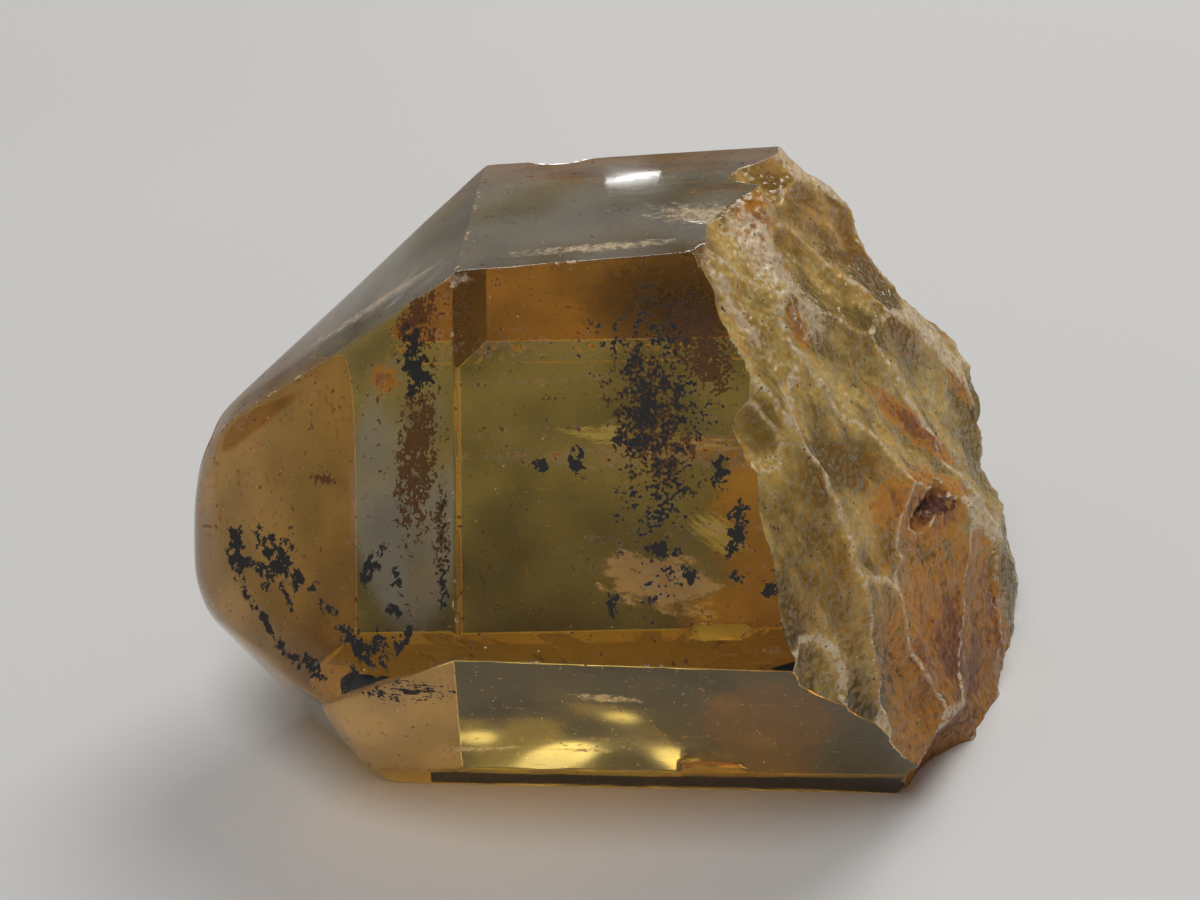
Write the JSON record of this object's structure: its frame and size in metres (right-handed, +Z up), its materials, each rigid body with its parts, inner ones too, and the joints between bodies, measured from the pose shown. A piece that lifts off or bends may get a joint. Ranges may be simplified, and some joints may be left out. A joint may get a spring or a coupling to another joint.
{
  "type": "citrine crystal point",
  "caption": "Stubby see-through smoky yellow quartz crystal with flat faces, a worn blunt tip and a rough broken base, lying on a side face.",
  "frame": {"origin": "middle of the bounding box, on the ground that the crystal lies on", "axes": "+X along the crystal from its worn tip to its broken base, +Z up"},
  "size_m": [0.0518, 0.0354, 0.0336],
  "materials": {
    "citrine": "clear smoky yellow quartz with dark oxide specks and a frosty, iron-stained break"
  },
  "bodies": {
    "root": {"crystal": "citrine"}
  },
  "joints": []
}
